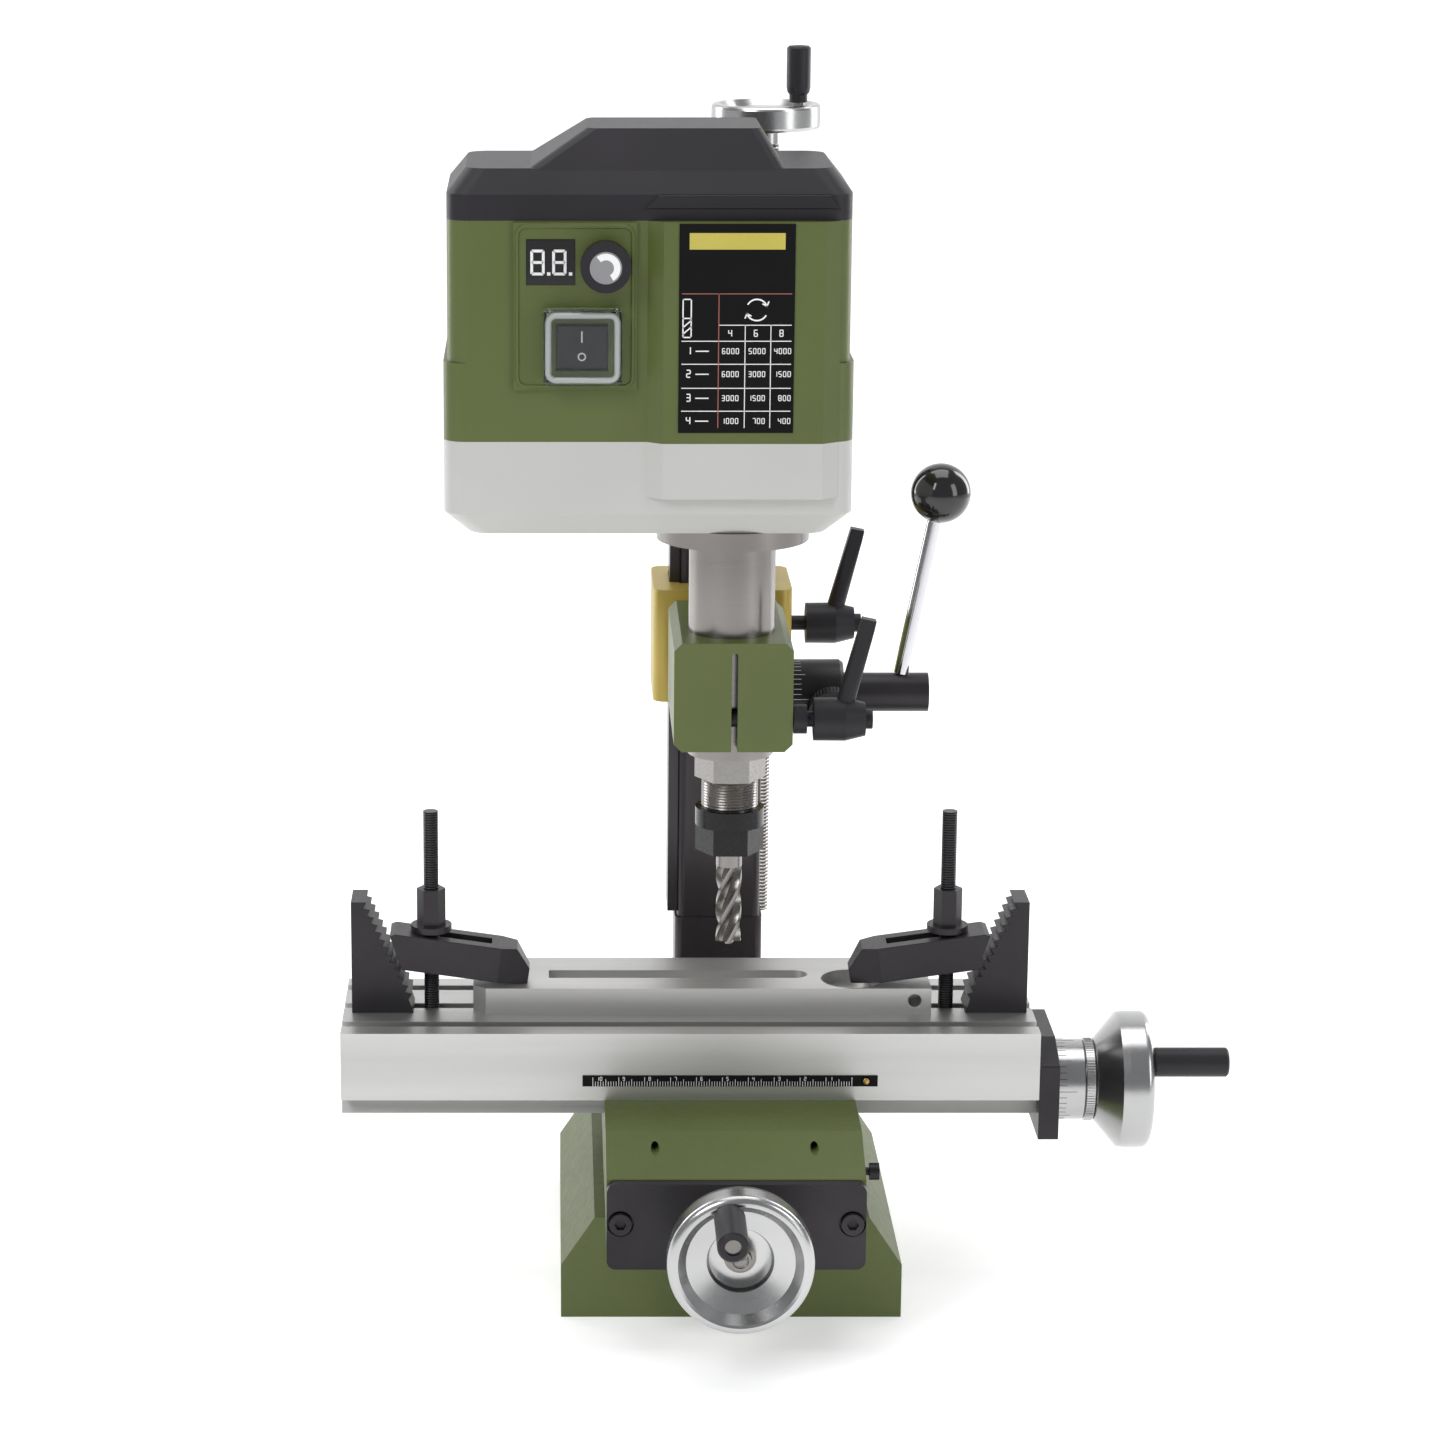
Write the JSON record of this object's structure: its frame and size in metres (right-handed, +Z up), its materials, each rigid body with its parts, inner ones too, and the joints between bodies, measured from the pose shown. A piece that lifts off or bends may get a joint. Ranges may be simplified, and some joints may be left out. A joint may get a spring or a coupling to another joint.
{
  "type": "benchtop milling machine",
  "caption": "Compact vertical mill with a hand-cranked cross table, a swivelling head on a column and a clamped plate under an end mill.",
  "frame": {"origin": "middle of the four threaded mounting holes in the base's underside", "axes": "+Z up, +X along the table to its handwheel, +Y back towards the column"},
  "size_m": [0.3458, 0.3131, 0.4688],
  "materials": {
    "green_paint": "satin olive green paint",
    "grey_plastic": "light grey moulded plastic",
    "black_plastic": "black moulded plastic",
    "blackened_steel": "blackened steel",
    "bright_steel": "ground steel",
    "aluminium": "turned and milled aluminium",
    "bronze": "machined bronze",
    "gold_paint": "gold anodised or painted casting",
    "black_label": "printed black plate",
    "chrome": "polished chrome",
    "clear_boot": "clear flexible splash cover"
  },
  "bodies": {
    "stand": {"base_casting": "green_paint", "y_nut": "bronze", "y_nut_screw": "blackened_steel", "column": "blackened_steel", "column_bolts": "blackened_steel", "column_rail": "blackened_steel", "top_bearing": "blackened_steel"},
    "cross_slide": {"saddle": "green_paint", "y_gib": "bright_steel", "x_gib": "bright_steel", "gib_screws": "blackened_steel", "y_end_plate": "blackened_steel", "y_plate_screws": "blackened_steel", "x_nut": "bronze"},
    "y_crank": {"y_screw": "bright_steel", "y_handwheel": "aluminium", "y_handle_pin": "bright_steel"},
    "y_dial_ring": {"y_dial": "aluminium"},
    "y_crank_sleeve": {"y_handle": "black_plastic"},
    "table_slide": {"table": "aluminium", "scale_strip": "black_label", "x_end_plate": "blackened_steel", "x_plate_screws": "blackened_steel", "workpiece": "aluminium", "clamp_studs": "blackened_steel", "clamp_nuts": "blackened_steel", "clamp_arms": "blackened_steel", "step_blocks": "blackened_steel"},
    "x_crank": {"x_screw": "bright_steel", "x_handwheel": "aluminium", "x_handle_pin": "bright_steel"},
    "x_dial_ring": {"x_dial": "aluminium"},
    "x_crank_sleeve": {"x_handle": "black_plastic"},
    "z_crank": {"z_screw_shaft": "bright_steel", "z_handwheel": "aluminium", "z_handle_pin": "bright_steel"},
    "z_crank_sleeve": {"z_handle": "black_plastic"},
    "carriage": {"z_bracket": "gold_paint", "z_nut": "bronze"},
    "bracket_clamp": {"bracket_lever": "black_plastic"},
    "head": {"clamp_block": "green_paint"},
    "quill_clamp": {"slit_lever": "black_plastic"},
    "feed_crank": {"feed_shaft": "bright_steel", "feed_rod": "chrome", "feed_ball": "black_plastic"},
    "feed_index": {"feed_dial": "blackened_steel"},
    "motor_head": {"quill_tube": "bright_steel", "spindle_bearings": "bright_steel", "housing_bottom": "grey_plastic", "housing_body": "green_paint", "top_cover": "black_plastic", "control_panel": "green_paint", "rating_plate": "black_label", "circuit_board": "black_plastic", "motor_stator": "bright_steel", "switch_boot": "clear_boot"},
    "spindle_unit": {"spindle": "bright_steel", "end_mill": "bright_steel"},
    "speed_control": {"speed_knob": "black_plastic"},
    "power_switch": {"rocker": "black_plastic"}
  },
  "joints": [
    {"name": "y_wheel_turn", "type": "hinge", "parent": "cross_slide", "child": "y_crank", "pos_m": [0, -0.1107, 0.05], "axis": [0, -1, 0], "range_deg": [-7561.8, 3961.8]},
    {"name": "y_feed", "type": "slide", "parent": "stand", "child": "cross_slide", "axis": [0, 1, 0], "range_m": [-0.042, 0.022]},
    {"name": "y_dial_turn", "type": "hinge", "parent": "y_crank", "child": "y_dial_ring", "pos_m": [0, -0.1107, 0.05], "axis": [0, -1, 0], "continuous": true},
    {"name": "y_sleeve_spin", "type": "hinge", "parent": "y_crank", "child": "y_crank_sleeve", "pos_m": [-0.0044, -0.1107, 0.0689], "axis": [0, -1, 0], "continuous": true},
    {"name": "x_wheel_turn", "type": "hinge", "parent": "table_slide", "child": "x_crank", "pos_m": [0.1275, -0.0115, 0.0745], "axis": [1, 0, 0], "range_deg": [-5761.8, 11881.8]},
    {"name": "x_feed", "type": "slide", "parent": "cross_slide", "child": "table_slide", "axis": [1, 0, 0], "range_m": [-0.032, 0.066]},
    {"name": "x_dial_turn", "type": "hinge", "parent": "x_crank", "child": "x_dial_ring", "pos_m": [0.1275, -0.0115, 0.0745], "axis": [1, 0, 0], "continuous": true},
    {"name": "x_sleeve_spin", "type": "hinge", "parent": "x_crank", "child": "x_crank_sleeve", "pos_m": [0.1275, -0.0266, 0.0866], "axis": [1, 0, 0], "continuous": true},
    {"name": "z_wheel_turn", "type": "hinge", "parent": "stand", "child": "z_crank", "pos_m": [0.0175, 0.1125, 0.43], "axis": [0, 0, 1], "range_deg": [0, 33602.4]},
    {"name": "z_sleeve_spin", "type": "hinge", "parent": "z_crank", "child": "z_crank_sleeve", "pos_m": [0.0305, 0.1125, 0.446], "axis": [0, 0, 1], "continuous": true},
    {"name": "z_feed", "type": "slide", "parent": "stand", "child": "carriage", "axis": [0, 0, 1], "range_m": [0, 0.14]},
    {"name": "bracket_clamp_turn", "type": "hinge", "parent": "carriage", "child": "bracket_clamp", "pos_m": [0.034, 0.0788, 0.239], "axis": [1, 0, 0], "range_deg": [-60, 60]},
    {"name": "head_swivel", "type": "hinge", "parent": "carriage", "child": "head", "pos_m": [0, 0.036, 0.236], "axis": [0, 1, 0], "range_deg": [-30, 30]},
    {"name": "quill_clamp_turn", "type": "hinge", "parent": "head", "child": "quill_clamp", "pos_m": [0.03, -0.0362, 0.2272], "axis": [1, 0, 0], "range_deg": [-40, 60]},
    {"name": "feed_lever_turn", "type": "hinge", "parent": "head", "child": "feed_crank", "pos_m": [0.024, 0.0078, 0.2272], "axis": [1, 0, 0], "range_deg": [0, 122]},
    {"name": "feed_index_turn", "type": "hinge", "parent": "feed_crank", "child": "feed_index", "pos_m": [0.024, 0.0078, 0.2272], "axis": [1, 0, 0], "range_deg": [-120, 20]},
    {"name": "quill_feed", "type": "slide", "parent": "head", "child": "motor_head", "axis": [0, 0, 1], "range_m": [-0.01701, 0]},
    {"name": "spindle_spin", "type": "hinge", "parent": "motor_head", "child": "spindle_unit", "pos_m": [0, -0.0167, 0.2], "axis": [0, 0, 1], "continuous": true},
    {"name": "speed_knob_turn", "type": "hinge", "parent": "motor_head", "child": "speed_control", "pos_m": [-0.0492, -0.0527, 0.4025], "axis": [0, -1, 0], "range_deg": [-220, 50]},
    {"name": "switch_rock", "type": "hinge", "parent": "motor_head", "child": "power_switch", "pos_m": [-0.0578, -0.0507, 0.3722], "axis": [1, 0, 0], "range_deg": [0, 10]}
  ],
  "couplings": [
    {"joint": "y_wheel_turn", "follows": "y_feed", "rad_per_m": 3141.6},
    {"joint": "x_wheel_turn", "follows": "x_feed", "rad_per_m": 3141.6},
    {"joint": "z_wheel_turn", "follows": "z_feed", "rad_per_m": 4188.8},
    {"joint": "feed_lever_turn", "follows": "quill_feed", "rad_per_m": -125}
  ]
}
